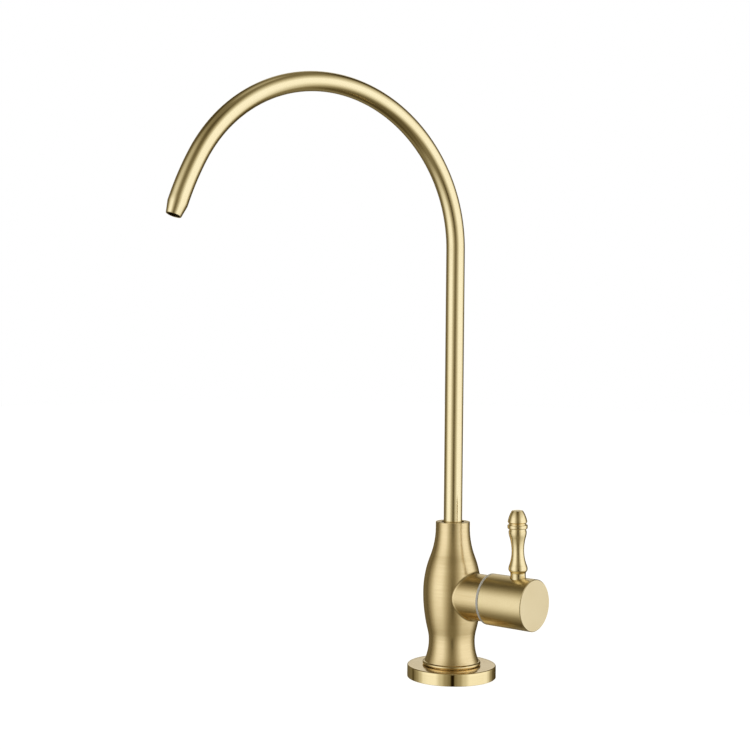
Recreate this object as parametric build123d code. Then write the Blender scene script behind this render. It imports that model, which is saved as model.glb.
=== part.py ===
from build123d import *
from math import cos, pi, radians, sin
import os

# A swan-neck drinking water tap: a swivelling spout in a turned body, a quarter-turn side lever,
# and the shank and nuts that clamp it through a worktop. Lengths are in millimetres, angles in degrees.
# The origin is on the worktop under the middle of the tap. Z is up, X is the lever's turning axis,
# and the spout points towards -Y.

# clearances
running_gap = 0.05        # radial, for what turns or screws in a bore
loose_gap = 0.3           # radial, for what stands free in a bore
face_gap = 0.1            # between flat faces that slide past each other
lapped_gap = 0.02         # between the two ceramic discs
overrun = 1.0             # how far a cut runs past the face that it opens

# spout tube
tube_radius = 4.85
tube_wall = 1.0
arch_radius = 78.7
arch_spring_height = 223.6
arch_sweep = 151.6
run_out_radius = 150.8    # the bend opens out before the nozzle
run_out_sweep = 8.6
spout_swing = 16.7        # from straight ahead, away from the lever
nozzle_straight = 2.8
nozzle_taper = 5.9
nozzle_tip_radius = 3.73
nozzle_wall = 0.6
nozzle_land = 4.0         # parallel bore inside the tip

# body
collar_radius = 8.95
collar_top = 81.5
collar_height = 3.0
bulb_radius = 15.25
bulb_height = 44.5
bulb_upper_share = 0.55   # how much of the curve above the bulb is convex
bulb_lower_share = 0.79
waist_radius = 12.05
waist_height = 19.1
foot_radius = 15.25
foot_bead = 1.0           # half the height of the round bead at the foot
boss_radius = 12.0
boss_reach = 24.75        # from the body's axis to the boss's end face
handle_height = 43.7

# spout socket
socket_radius = 5.85
socket_depth = 21.5
snap_groove_depth = 0.8
snap_ring_thickness = 1.0
snap_ring_lip = 0.6       # how far the snap ring stands over the stem
snap_ring_gap = 2.4
collar_land = 3.4         # from the collar's top down to the snap ring
spout_washer_thickness = 1.0
spout_washer_bore = 3.8
stem_bore = 3.4
stem_cup_depth = 6.4      # how far the tube stands in the stem
spout_o_ring_section = 1.3
spout_o_ring_pitch = 4.0
o_ring_land = 1.6         # from the stem's foot to its first groove

# base plate
base_radius = 23.25
base_height = 6.45
base_top_thickness = 2.4
base_skirt = 2.0
base_round = 0.65
base_hole_gap = 0.35
gasket_bore = 7.0
gasket_side_gap = 0.2
foot_o_ring_radius = 10.4
foot_o_ring_section = 1.6

# threaded shank and what is under the worktop
shank_radius = 5.56
shank_bore = 2.2
shank_engagement = 12.0   # in the body
shank_length = 48.0       # below the worktop's top face
worktop_thickness = 20.0
worktop_washer_radius = 17.0
worktop_washer_thickness = 3.0
lock_washer_radius = 10.5
lock_washer_thickness = 0.9
lock_teeth = 12
lock_tooth_depth = 1.6
lock_tooth_width = 2.2
fixing_nut_flats = 17.5
fixing_nut_height = 5.5
hose_radius = 3.18
hose_gap = 0.07
hose_depth = 12.0
inlet_nut_flats = 14.3
inlet_nut_grip = 8.0      # how much of the shank it covers
inlet_nut_floor = 3.0
ferrule_length = 4.0
ferrule_foot_radius = 4.5
ferrule_shoulder = 1.7
ferrule_proud = 2.0       # how much of it stands out of the shank
ferrule_tip_wall = 0.35
nut_chamfer_share = 0.35  # how much of a hexagon's corners is turned off

# waterways in the body
inlet_bore = 2.0
outlet_bore = 2.0
seat_offset = 3.5         # from the body's axis to the cartridge's seat
outlet_pocket = 2.5       # how far the outlet drill breaks into the chamber
chamber_radius = 8.2
boss_thread_radius = 9.0
boss_thread_length = 8.0
boss_mouth_radius = 10.2
boss_mouth_depth = 1.25

# cartridge, named from the seat outwards
seat_seal_length = 3.4
seat_seal_bore = 5.4
disc_radius = 6.3
fixed_disc_thickness = 2.8
moving_disc_thickness = 2.6
disc_port_radius = 1.9
disc_port_offset = 3.4
disc_lug_width = 2.0
drive_depth = 1.2
drive_width = 2.4
drive_gap = 0.1
spindle_flange_thickness = 3.0
spindle_radius = 4.0
spindle_flat = 0.6
spindle_o_ring_section = 1.4
spindle_o_ring_pitch = 3.5
spindle_o_ring_inset = 2.5
friction_washer_thickness = 0.7
nose_gap = 0.8            # between the housing's nose and the seat
nose_wall = 0.7
port_width = 6.0
port_land = 0.4
hex_flats = 17.4
hex_thickness = 3.5
neck_radius = 6.2
neck_length = 3.5
circlip_thickness = 0.8
circlip_groove = 0.6
circlip_radius = 5.4
circlip_gap = 2.0
housing_o_ring_section = 1.2

# handle
glide_ring_thickness = 1.3
hub_radius = 13.15
hub_length = 25.9
hub_chamfer = 0.35
hub_cavity_radius = 10.9
hub_cavity_depth = 9.5
hub_face_thickness = 5.2
lever_offset = 15.95      # from the hub's inner end to the lever's axis
lever_lean = 2.1          # how far forward of upright it stands when shut
lever_seat_radius = 4.2
lever_seat_depth = 0.8
lever_hole_floor = 1.1    # metal left between the lever's hole and the spindle
grub_screw_radius = 2.0
grub_screw_length = 7.6
grub_socket_flats = 2.0
grub_socket_depth = 2.0
stud_radius = 2.0
stud_in_lever = 6.5

# lever, named from its foot in the hub upwards
lever_neck_radius = 3.9
lever_neck_length = 2.85
bulge_foot = 2.3
bulge_foot_share = 0.5
bulge_radius = 4.85
lower_taper = 9.3
lower_taper_share = 0.2
lever_waist_radius = 3.15
upper_taper = 10.0
upper_taper_share = 0.3
shoulder_radius = 4.6
groove_width = 1.2
groove_radius = 4.35
bead_radius = 5.1
bead_width = 2.1
bead_edge = 0.5
lever_head_edge = 0.5
lever_head_radius = 4.9
lever_head_length = 5.3
lever_head_crown = 0.28   # how far its side bulges from straight
lever_top_radius = 2.8
lever_dish_depth = 0.3


def rod(radius, low, high):
    """A round bar on the Z axis from one height to another."""
    return Pos(0, 0, low) * Cylinder(radius, high - low, align=(Align.CENTER, Align.CENTER, Align.MIN))


def washer(outer, inner, low, high):
    """A flat ring on the Z axis."""
    return rod(outer, low, high) - rod(inner, low - overrun, high + overrun)


def hexagon(flats, low, high):
    """A hexagonal bar on the Z axis, flats apart, with its corners turned off at both ends."""
    across_corners = flats / cos(pi / 6)
    edge = (across_corners - flats) * nut_chamfer_share
    bar = extrude(Pos(0, 0, low) * RegularPolygon(flats / 2, 6, major_radius=False), high - low)
    rim = across_corners / 2
    half = (high - low) / 2
    turned_profile = Polyline(
        (0, low), (rim - edge, low), (rim + half - edge, low + half), (rim - edge, high), (0, high), (0, low)
    )
    return bar & revolve(Plane.XZ * make_face(turned_profile), Axis.Z)


def turned(*lines):
    """A solid of revolution about Z. Each outline point is a radius and a height."""
    return revolve(Plane.XZ * make_face(lines), Axis.Z)


def curve_between(start, end, convex_share):
    """Two arcs that leave start and reach end upright, the first taking the given share of the way."""
    (r0, z0), (r1, z1) = start, end
    turn = (r0 + (r1 - r0) * convex_share, z0 + (z1 - z0) * convex_share)
    way = 1 if z1 > z0 else -1
    return [TangentArc(start, turn, tangent=(0, way)), TangentArc(end, turn, tangent=(0, -way))]


def bowed(start, end, crown):
    """An arc from start up to end that stands out from the straight line by its crown."""
    chord = Vector(end) - Vector(start)
    outwards = Vector(chord.Y, -chord.X).normalized()
    return ThreePointArc(start, (Vector(start) + Vector(end)) * 0.5 + outwards * crown, end)


def o_ring(outer_radius, section, height):
    """An O-ring on the Z axis, given its outer radius and the middle of its section."""
    return Pos(0, 0, height) * Torus(outer_radius - section / 2, section / 2)


def bars_across(length, width, low, high):
    """A bar through the Z axis, lengthways along Y."""
    return Pos(0, 0, low) * Box(width, length, high - low, align=(Align.CENTER, Align.CENTER, Align.MIN))


def sideways(solid):
    """Lays a solid made on the Z axis along the handle's axis, its Z heights becoming X distances."""
    return Pos(0, 0, handle_height) * Rot(0, 90, 0) * solid


def sideways_leaning(solid):
    """The same for what turns with the lever, which leans a little forward when shut."""
    return Pos(0, 0, handle_height) * Rot(lever_lean, 0, 0) * Rot(0, 90, 0) * solid


def on_lever(solid):
    """Stands a solid made on the Z axis on the lever's axis, heights counted from the hub's axis."""
    return Pos(lever_x, 0, handle_height) * Rot(lever_lean, 0, 0) * solid


# places worked out from the sizes above
swing = radians(spout_swing)
spout_plane = Plane(origin=(0, 0, 0), x_dir=(-sin(swing), -cos(swing), 0), z_dir=(-cos(swing), sin(swing), 0))

socket_floor = collar_top - socket_depth
snap_ring_top = collar_top - collar_land
snap_ring_bottom = snap_ring_top - snap_ring_thickness
spout_washer_top = socket_floor + spout_washer_thickness
stem_foot = spout_washer_top + face_gap
stem_top = snap_ring_bottom - face_gap
stem_radius = socket_radius - running_gap
tube_foot = stem_top - stem_cup_depth
foot_height = base_height
shank_top = foot_height + shank_engagement

ring_outer_x = boss_reach + glide_ring_thickness
hub_inner_x = ring_outer_x + face_gap
hub_face_x = hub_inner_x + hub_length
lever_x = hub_inner_x + lever_offset
hub_floor_x = hub_inner_x + hub_cavity_depth
spindle_end_x = hub_face_x - hub_face_thickness

fixed_disc_x = seat_offset + seat_seal_length
moving_disc_x = fixed_disc_x + fixed_disc_thickness + lapped_gap
flange_x = moving_disc_x + moving_disc_thickness
friction_x = flange_x + spindle_flange_thickness
shoulder_x = friction_x + friction_washer_thickness + face_gap
nose_bore = disc_radius + loose_gap
nose_radius = nose_bore + nose_wall
thread_start_x = boss_reach - boss_thread_length
neck_end_x = ring_outer_x + hex_thickness + neck_length
spindle_bore = spindle_radius + running_gap

gasket_thickness = base_height - base_top_thickness
washer_top = -worktop_thickness
washer_bottom = washer_top - worktop_washer_thickness
lock_bottom = washer_bottom - lock_washer_thickness
nut_bottom = lock_bottom - fixing_nut_height
thread_hole = shank_radius + running_gap
ferrule_bore = hose_radius + hose_gap + lapped_gap


def make_spout_tube():
    """Tube bent through the arch, with its end drawn in to a nozzle."""
    spring = (0, arch_spring_height)
    riser = Line((0, tube_foot), spring)
    arch = JernArc(spring, (0, 1), arch_radius, -arch_sweep)
    run_out = JernArc(arch @ 1, arch % 1, run_out_radius, -run_out_sweep)
    end = Line(run_out @ 1, Vector(run_out @ 1) + Vector(run_out % 1) * nozzle_straight)
    path = Curve() + [spout_plane * edge for edge in (riser, arch, run_out, end)]
    start = Plane(origin=(0, 0, tube_foot), z_dir=(0, 0, 1))
    outside = sweep(start * Circle(tube_radius), path=path)
    inside = sweep(start * Circle(tube_radius - tube_wall), path=path)
    tip_bore = nozzle_tip_radius - nozzle_wall
    taper_start = nozzle_taper - nozzle_land
    nozzle = turned(
        Line((tube_radius - tube_wall, 0), (tube_radius, 0)),
        Line((tube_radius, 0), (nozzle_tip_radius, nozzle_taper)),
        Line((nozzle_tip_radius, nozzle_taper), (tip_bore, nozzle_taper)),
        Line((tip_bore, nozzle_taper), (tip_bore, taper_start)),
        Line((tip_bore, taper_start), (tube_radius - tube_wall, 0)),
    )
    end = spout_plane * end
    nozzle_place = Plane(origin=end @ 1, z_dir=end % 1)
    return (outside - inside) + nozzle_place * nozzle


def stem_groove_heights():
    """The middles of the stem's two O-ring grooves."""
    first = stem_foot + o_ring_land + spout_o_ring_section / 2
    return [first, first + spout_o_ring_pitch]


def make_spout_stem():
    """Brass fitting brazed on the foot of the tube, grooved for two O-rings."""
    stem = rod(stem_radius, stem_foot, stem_top) - rod(stem_bore, stem_foot - overrun, stem_top)
    stem -= rod(tube_radius + lapped_gap, tube_foot, stem_top + overrun)
    half = spout_o_ring_section / 2 + running_gap
    for height in stem_groove_heights():
        root = stem_radius - spout_o_ring_section - lapped_gap
        stem -= washer(stem_radius + overrun, root, height - half, height + half)
    return stem


def make_spout_o_rings():
    return [o_ring(stem_radius, spout_o_ring_section, height) for height in stem_groove_heights()]


def make_snap_ring():
    """Spring wire ring in the body's groove, over the top of the stem."""
    outer = socket_radius + snap_groove_depth - face_gap
    ring = washer(outer, socket_radius - snap_ring_lip, snap_ring_bottom, snap_ring_top)
    gap = bars_across(outer + overrun, snap_ring_gap, snap_ring_bottom - overrun, snap_ring_top + overrun)
    return ring - Pos(0, (outer + overrun) / 2, 0) * gap


def make_spout_washer():
    return washer(socket_radius - running_gap, spout_washer_bore, socket_floor, spout_washer_top)


def body_outline():
    """The turned outside of the body, from its foot up to the collar."""
    bead_middle = (foot_radius, foot_height + foot_bead)
    bead_bottom = (foot_radius - foot_bead, foot_height)
    bead_top = (foot_radius - foot_bead, foot_height + 2 * foot_bead)
    return [
        Line((0, foot_height), bead_bottom),
        TangentArc(bead_middle, bead_bottom, tangent=(0, -1)),
        TangentArc(bead_middle, bead_top, tangent=(0, 1)),
        TangentArc((waist_radius, waist_height), bead_top, tangent=(0, -1)),
        *curve_between((bulb_radius, bulb_height), (waist_radius, waist_height), bulb_lower_share),
        *curve_between((bulb_radius, bulb_height), (collar_radius, collar_top - collar_height), bulb_upper_share),
        Line((collar_radius, collar_top - collar_height), (collar_radius, collar_top)),
        Line((collar_radius, collar_top), (0, collar_top)),
        Line((0, collar_top), (0, foot_height)),
    ]


def make_body():
    """Turned brass body with its side boss, bored for the spout, the cartridge, the shank and the water."""
    body = turned(*body_outline()) + sideways(rod(boss_radius, 0, boss_reach))
    # spout socket with its snap ring groove
    body -= rod(socket_radius, socket_floor, collar_top + overrun)
    body -= rod(socket_radius + snap_groove_depth, snap_ring_bottom - face_gap, snap_ring_top + face_gap)
    # cartridge chamber, thread and mouth
    body -= sideways(rod(chamber_radius, seat_offset, boss_reach))
    body -= sideways(rod(boss_thread_radius, thread_start_x, boss_reach + overrun))
    body -= sideways(rod(boss_mouth_radius, boss_reach - boss_mouth_depth, boss_reach + overrun))
    # water comes up the middle into the seat, and leaves from the chamber's roof into the socket
    body -= rod(inlet_bore, shank_top, handle_height) + Pos(0, 0, handle_height) * Sphere(inlet_bore)
    body -= sideways(rod(inlet_bore, 0, seat_offset + overrun))
    chamber_roof = handle_height + chamber_radius
    outlet = rod(outlet_bore, chamber_roof - outlet_pocket, socket_floor + overrun)
    body -= Pos(socket_radius - outlet_bore - running_gap, 0, 0) * outlet
    # shank thread and foot seal groove
    body -= rod(thread_hole, foot_height - overrun, shank_top)
    groove_roof = foot_height + foot_o_ring_section
    half = foot_o_ring_section / 2 + running_gap
    middle = foot_o_ring_radius
    return body - washer(middle + half, middle - half, foot_height - overrun, groove_roof)


def make_foot_o_ring():
    half = foot_o_ring_section / 2
    return o_ring(foot_o_ring_radius + half, foot_o_ring_section, foot_height + half)


def make_base_plate():
    """Cover plate, hollow below, with a hole for the shank."""
    skirt_bore = base_radius - base_skirt
    plate = rod(base_radius, 0, base_height)
    rim = plate.faces().sort_by(Axis.Z)[-1].edges()
    plate = fillet(rim, base_round)
    plate -= rod(skirt_bore, -overrun, gasket_thickness)
    return plate - rod(shank_radius + base_hole_gap, 0, base_height + overrun)


def make_base_gasket():
    return washer(base_radius - base_skirt - gasket_side_gap, gasket_bore, 0, gasket_thickness)


def make_threaded_shank():
    """Hollow stud: the water comes up through it and the hose goes into its lower end."""
    bottom = -shank_length
    shank = rod(shank_radius, bottom, shank_top) - rod(shank_bore, bottom - overrun, shank_top + overrun)
    hose_hole = hose_radius + hose_gap
    shank -= rod(hose_hole, bottom - overrun, bottom + hose_depth)
    return shank - turned(*ferrule_outline(0, running_gap))


def make_worktop_washer():
    return washer(worktop_washer_radius, shank_radius + loose_gap, washer_bottom, washer_top)


def make_lock_washer():
    """Star washer, its rim cut into teeth."""
    ring = washer(lock_washer_radius, shank_radius + loose_gap, lock_bottom, washer_bottom)
    slot = Pos(lock_washer_radius, 0, lock_bottom) * Box(
        2 * lock_tooth_depth, lock_tooth_width, lock_washer_thickness, align=(Align.CENTER, Align.CENTER, Align.MIN)
    )
    for tooth in range(lock_teeth):
        ring -= Rot(0, 0, tooth * 360 / lock_teeth) * slot
    return ring


def make_fixing_nut():
    nut = hexagon(fixing_nut_flats, nut_bottom, lock_bottom)
    return nut - rod(thread_hole, nut_bottom - overrun, lock_bottom + overrun)


def make_inlet_nut():
    """Compression nut that presses the ferrule onto the hose."""
    shoulder = -shank_length - ferrule_proud
    bottom = shoulder - inlet_nut_floor
    nut = hexagon(inlet_nut_flats, bottom, -shank_length + inlet_nut_grip)
    nut -= rod(thread_hole, shoulder, -shank_length + inlet_nut_grip + overrun)
    return nut - rod(hose_radius + loose_gap, bottom - overrun, shoulder + overrun)


def ferrule_outline(inner_radius, grown):
    """The ferrule's half section, or with grown set, the room that it takes in the shank."""
    foot = -shank_length - ferrule_proud
    top = foot + ferrule_length + grown
    wide = ferrule_foot_radius + grown
    narrow = ferrule_bore + ferrule_tip_wall + grown
    corners = [(inner_radius, foot), (wide, foot), (wide, foot + ferrule_shoulder), (narrow, top), (inner_radius, top)]
    return [Line(a, b) for a, b in zip(corners, corners[1:] + corners[:1])]


def make_inlet_ferrule():
    return turned(*ferrule_outline(ferrule_bore, 0))


def make_seat_seal():
    return sideways(washer(disc_radius, seat_seal_bore, seat_offset, fixed_disc_x))


def make_ceramic_disc_fixed():
    """Fixed disc: two ports side by side, and two lugs that the housing's nose holds."""
    thickness = fixed_disc_thickness
    disc = rod(disc_radius, 0, thickness)
    lug_reach = nose_radius - lapped_gap
    disc += Rot(0, 0, 90) * bars_across(2 * lug_reach, disc_lug_width, 0, thickness) & rod(lug_reach, 0, thickness)
    for side in (-1, 1):
        disc -= Pos(0, side * disc_port_offset, 0) * rod(disc_port_radius, -overrun, thickness + overrun)
    return sideways(Pos(0, 0, fixed_disc_x) * disc)


def make_ceramic_disc_moving():
    """Moving disc: two notches to its rim, a quarter turn away from the fixed ports when shut."""
    thickness = moving_disc_thickness
    disc = rod(disc_radius, 0, thickness)
    for side in (-1, 1):
        port = Pos(side * disc_port_offset, 0, 0) * rod(disc_port_radius, -overrun, thickness + overrun)
        way_out = Pos(side * disc_radius, 0, -overrun) * Box(
            2 * (disc_radius - disc_port_offset),
            2 * disc_port_radius,
            thickness + 2 * overrun,
            align=(Align.CENTER, Align.CENTER, Align.MIN),
        )
        disc -= port + way_out
    drive_slot = bars_across(3 * disc_radius, drive_width + 2 * drive_gap, thickness - drive_depth - drive_gap,
                             thickness + overrun)
    return sideways_leaning(Pos(0, 0, moving_disc_x) * (disc - drive_slot))


def spindle_groove_places():
    """The middles of the spindle's two O-ring grooves."""
    first = shoulder_x + spindle_o_ring_inset
    return [first, first + spindle_o_ring_pitch]


def make_spindle():
    """Stem that turns the moving disc: flange, driving bar, two O-ring grooves, circlip groove and flat."""
    spindle = rod(disc_radius, flange_x, friction_x) + rod(spindle_radius, friction_x, spindle_end_x)
    bar = bars_across(3 * disc_radius, drive_width, flange_x - drive_depth, flange_x)
    spindle += bar & rod(disc_radius, flange_x - drive_depth, flange_x)
    half = spindle_o_ring_section / 2 + running_gap
    root = spindle_radius - spindle_o_ring_section - lapped_gap
    for place in spindle_groove_places():
        spindle -= washer(spindle_radius + overrun, root, place - half, place + half)
    clip_root = spindle_radius - circlip_groove
    spindle -= washer(spindle_radius + overrun, clip_root, neck_end_x, neck_end_x + circlip_thickness + 2 * face_gap)
    # the flat faces down, under the grub screw
    flat = Pos(spindle_radius, 0, hub_floor_x) * Box(
        2 * spindle_flat, 2 * spindle_radius, spindle_end_x - hub_floor_x + overrun,
        align=(Align.CENTER, Align.CENTER, Align.MIN),
    )
    return sideways_leaning(spindle - flat)


def make_spindle_o_rings():
    return [sideways(o_ring(spindle_radius, spindle_o_ring_section, place)) for place in spindle_groove_places()]


def make_friction_washer():
    return sideways(washer(disc_radius, spindle_bore, friction_x, friction_x + friction_washer_thickness))


def make_spindle_circlip():
    """Open ring that keeps the spindle from being pushed in."""
    low = neck_end_x + face_gap
    ring = washer(circlip_radius, spindle_radius - circlip_groove + lapped_gap, low, low + circlip_thickness)
    gap = bars_across(circlip_radius + overrun, circlip_gap, low - overrun, low + circlip_thickness + overrun)
    return sideways_leaning(ring - Pos(0, (circlip_radius + overrun) / 2, 0) * gap)


def make_cartridge_housing():
    """Brass headwork: a nose around the discs, a thread in the boss, a hexagon and a neck."""
    nose_start = seat_offset + nose_gap
    housing = rod(nose_radius, nose_start, thread_start_x)
    housing += rod(boss_thread_radius - running_gap, thread_start_x, ring_outer_x)
    housing += hexagon(hex_flats, ring_outer_x, ring_outer_x + hex_thickness)
    housing += rod(neck_radius, ring_outer_x, neck_end_x)
    housing -= rod(nose_bore, nose_start - overrun, shoulder_x)
    housing -= rod(spindle_bore, shoulder_x - overrun, neck_end_x + overrun)
    # slots for the fixed disc's lugs, and side ports for the water
    lug_slot = Rot(0, 0, 90) * bars_across(3 * nose_radius, disc_lug_width + 2 * running_gap,
                                           nose_start - overrun, moving_disc_x)
    side_port = bars_across(3 * nose_radius, port_width, moving_disc_x, shoulder_x - port_land)
    side_port = side_port & rod(nose_radius + overrun, moving_disc_x, shoulder_x - port_land)
    # the thread is cut away where the seal sits in the boss's mouth
    seal_root = boss_mouth_radius - housing_o_ring_section - lapped_gap
    relief = washer(boss_mouth_radius, min(seal_root, boss_thread_radius), boss_reach - boss_mouth_depth, boss_reach)
    return sideways(housing - lug_slot - side_port - relief)


def make_housing_o_ring():
    place = boss_reach - housing_o_ring_section / 2
    return sideways(o_ring(boss_mouth_radius - lapped_gap, housing_o_ring_section, place))


def make_glide_ring():
    """Plain ring clamped on the boss by the housing's hexagon; the hub turns against it."""
    return sideways(washer(hub_radius, boss_thread_radius + running_gap, boss_reach, ring_outer_x))


def make_handle_hub():
    """Cylindrical hub: hollow around the headwork, bored for the spindle, drilled for lever and grub screw."""
    hub = rod(hub_radius, hub_inner_x, hub_face_x)
    rim = hub.faces().sort_by(Axis.Z)[-1].edges()
    hub = chamfer(rim, hub_chamfer)
    hub -= rod(hub_cavity_radius, hub_inner_x - overrun, hub_floor_x)
    hub -= rod(spindle_bore, hub_floor_x - overrun, spindle_end_x + face_gap)
    hub = sideways(hub)
    seat_floor = hub_radius - lever_seat_depth
    hub -= on_lever(rod(lever_seat_radius, seat_floor, hub_radius + overrun))
    hub -= on_lever(rod(stud_radius + running_gap, spindle_bore + lever_hole_floor, hub_radius))
    return hub - on_lever(rod(grub_screw_radius + running_gap, -hub_radius - overrun, 0))


def make_grub_screw():
    """Set screw with a hexagon socket, its tip on the spindle's flat."""
    tip = -(spindle_radius - spindle_flat)
    head = tip - grub_screw_length
    screw = rod(grub_screw_radius, head, tip)
    socket = extrude(Pos(0, 0, head) * RegularPolygon(grub_socket_flats / 2, 6, major_radius=False), grub_socket_depth)
    return on_lever(screw - socket)


def make_lever_stud():
    foot = spindle_bore + lever_hole_floor + face_gap
    return on_lever(rod(stud_radius, foot, hub_radius - lever_seat_depth + stud_in_lever))


def lever_outline():
    """The turned outside of the lever, from its dished top down to its foot in the hub."""
    foot = hub_radius - lever_seat_depth
    neck = foot + lever_neck_length
    bulge = neck + bulge_foot
    waist = bulge + lower_taper
    shoulder = waist + upper_taper
    bead_foot = shoulder + groove_width
    bead_top = bead_foot + bead_width
    head_edge = bead_top + groove_width
    head_foot = head_edge + lever_head_edge
    top = head_foot + lever_head_length
    dish_floor = (0, top - lever_dish_depth)
    return [
        ThreePointArc((-lever_top_radius, top), dish_floor, (lever_top_radius, top)).trim(0.5, 1),
        bowed((lever_head_radius, head_foot), (lever_top_radius, top), lever_head_crown),
        Line((lever_head_radius, head_foot), (lever_head_radius, head_edge)),
        Line((lever_head_radius, head_edge), (groove_radius, head_edge - groove_width / 2)),
        Line((groove_radius, head_edge - groove_width / 2), (groove_radius, bead_top)),
        Line((groove_radius, bead_top), (bead_radius - bead_edge, bead_top)),
        TangentArc((bead_radius, bead_top - bead_edge), (bead_radius - bead_edge, bead_top), tangent=(0, 1)),
        Line((bead_radius, bead_top - bead_edge), (bead_radius, bead_foot + bead_edge)),
        TangentArc((bead_radius, bead_foot + bead_edge), (bead_radius - bead_edge, bead_foot), tangent=(0, -1)),
        Line((bead_radius - bead_edge, bead_foot), (groove_radius, bead_foot)),
        Line((groove_radius, bead_foot), (groove_radius, shoulder)),
        Line((groove_radius, shoulder), (shoulder_radius, shoulder)),
        *curve_between((shoulder_radius, shoulder), (lever_waist_radius, waist), upper_taper_share),
        *curve_between((bulge_radius, bulge), (lever_waist_radius, waist), lower_taper_share),
        *curve_between((bulge_radius, bulge), (lever_neck_radius, neck), bulge_foot_share),
        Line((lever_neck_radius, neck), (lever_neck_radius, foot)),
        Line((lever_neck_radius, foot), (0, foot)),
        Line((0, foot), dish_floor),
    ]


def make_lever():
    """Turned lever, tapped in its foot for the stud."""
    foot = hub_radius - lever_seat_depth
    lever = turned(*lever_outline())
    lever -= rod(stud_radius + running_gap, foot - overrun, foot + stud_in_lever + face_gap)
    return on_lever(lever)


nodes = {
    "spout_tube": make_spout_tube,
    "spout_stem": make_spout_stem,
    "spout_o_rings": make_spout_o_rings,
    "spout_snap_ring": make_snap_ring,
    "spout_washer": make_spout_washer,
    "body": make_body,
    "foot_o_ring": make_foot_o_ring,
    "base_plate": make_base_plate,
    "base_gasket": make_base_gasket,
    "threaded_shank": make_threaded_shank,
    "worktop_washer": make_worktop_washer,
    "lock_washer": make_lock_washer,
    "fixing_nut": make_fixing_nut,
    "inlet_nut": make_inlet_nut,
    "inlet_ferrule": make_inlet_ferrule,
    "cartridge_housing": make_cartridge_housing,
    "housing_o_ring": make_housing_o_ring,
    "seat_seal": make_seat_seal,
    "ceramic_disc_fixed": make_ceramic_disc_fixed,
    "ceramic_disc_moving": make_ceramic_disc_moving,
    "spindle": make_spindle,
    "spindle_o_rings": make_spindle_o_rings,
    "friction_washer": make_friction_washer,
    "spindle_circlip": make_spindle_circlip,
    "glide_ring": make_glide_ring,
    "handle_hub": make_handle_hub,
    "lever": make_lever,
    "lever_stud": make_lever_stud,
    "handle_grub_screw": make_grub_screw,
}

os.makedirs("parts", exist_ok=True)
for name, make in nodes.items():
    made = make()
    solids = [solid for piece in (made if isinstance(made, list) else [made]) for solid in piece.solids()]
    shape = solids[0] if len(solids) == 1 else Compound(children=solids)
    export_step(shape, f"parts/{name}.step")
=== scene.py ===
from math import acos, atan2, cos, hypot, isclose, pi, radians, sin, tan

import bmesh
import bpy
from mathutils import Matrix, Vector


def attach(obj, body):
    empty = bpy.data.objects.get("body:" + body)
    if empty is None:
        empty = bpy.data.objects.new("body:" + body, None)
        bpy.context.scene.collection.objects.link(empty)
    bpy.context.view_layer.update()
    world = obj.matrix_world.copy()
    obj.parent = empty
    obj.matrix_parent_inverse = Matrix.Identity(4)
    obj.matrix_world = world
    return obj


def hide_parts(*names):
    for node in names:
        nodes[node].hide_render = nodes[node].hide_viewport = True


# A swan-neck drinking water tap in satin gold, standing on its worktop, rebuilt around its measured parts.
# Sizes are in millimetres and turned into metres as each mesh is made. Z is up, and the spout points to -Y.
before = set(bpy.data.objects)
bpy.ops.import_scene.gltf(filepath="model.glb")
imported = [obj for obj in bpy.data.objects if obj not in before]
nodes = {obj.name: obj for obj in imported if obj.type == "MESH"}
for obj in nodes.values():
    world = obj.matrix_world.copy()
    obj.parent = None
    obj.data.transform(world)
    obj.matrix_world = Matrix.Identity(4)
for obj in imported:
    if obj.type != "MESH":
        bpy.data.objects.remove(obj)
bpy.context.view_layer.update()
mm = 0.001

# The studio: a camera a little above the worktop, turned to the tap's front right corner. The light is
# soft and white all round, with black cards in front of the tap and on both sides behind it, which
# draw the dark lines that satin metal shows. The worktop is plain white.
azimuth, pitch, roll = radians(40.705), radians(0.972), radians(0.515)
camera_place = Vector((436.478, -570.687, 169.870)) * mm
photo_width = 750
half_pixel = 0.5 / photo_width
back = Vector((sin(azimuth) * cos(pitch), -cos(azimuth) * cos(pitch), sin(pitch)))
level = Vector((0, 0, 1)).cross(back).normalized()
upright = back.cross(level)
across = level * cos(roll) + upright * sin(roll)
upwards = upright * cos(roll) - level * sin(roll)
camera = bpy.data.objects.new("camera", bpy.data.cameras.new("camera"))
camera.matrix_world = Matrix((across, upwards, back)).transposed().to_4x4()
camera.location = camera_place
camera.data.sensor_width = 36
camera.data.lens = 65.731
camera.data.shift_x = -half_pixel
camera.data.shift_y = half_pixel
camera.data.clip_start = 0.01
camera.data.clip_end = 20
bpy.context.scene.collection.objects.link(camera)
bpy.context.scene.camera = camera
bpy.context.scene.view_settings.view_transform = "Standard"


def add(tree, kind, values=(), **settings):
    """A node of that kind in the tree, with its settings, and its sockets set or linked by name or number."""
    made = tree.nodes.new(kind)
    for setting, value in settings.items():
        setattr(made, setting, value)
    for socket, value in dict(values).items():
        if isinstance(value, bpy.types.NodeSocket):
            tree.links.new(value, made.inputs[socket])
        else:
            made.inputs[socket].default_value = value
    return made


def calculate(tree, operation, *values):
    """The result socket of one arithmetic node."""
    return add(tree, "ShaderNodeMath", enumerate(values), operation=operation).outputs[0]


def ramp(tree, factor, stops):
    """A soft ramp's grey level, from stops of a place and a level."""
    made = add(tree, "ShaderNodeValToRGB", {"Fac": factor})
    made.color_ramp.interpolation = "EASE"
    elements = made.color_ramp.elements
    while len(elements) < len(stops):
        elements.new(0.5)
    for element, (place, grey) in zip(elements, stops):
        element.position = place
        element.color = (grey, grey, grey, 1)
    return made.outputs["Color"]


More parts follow.
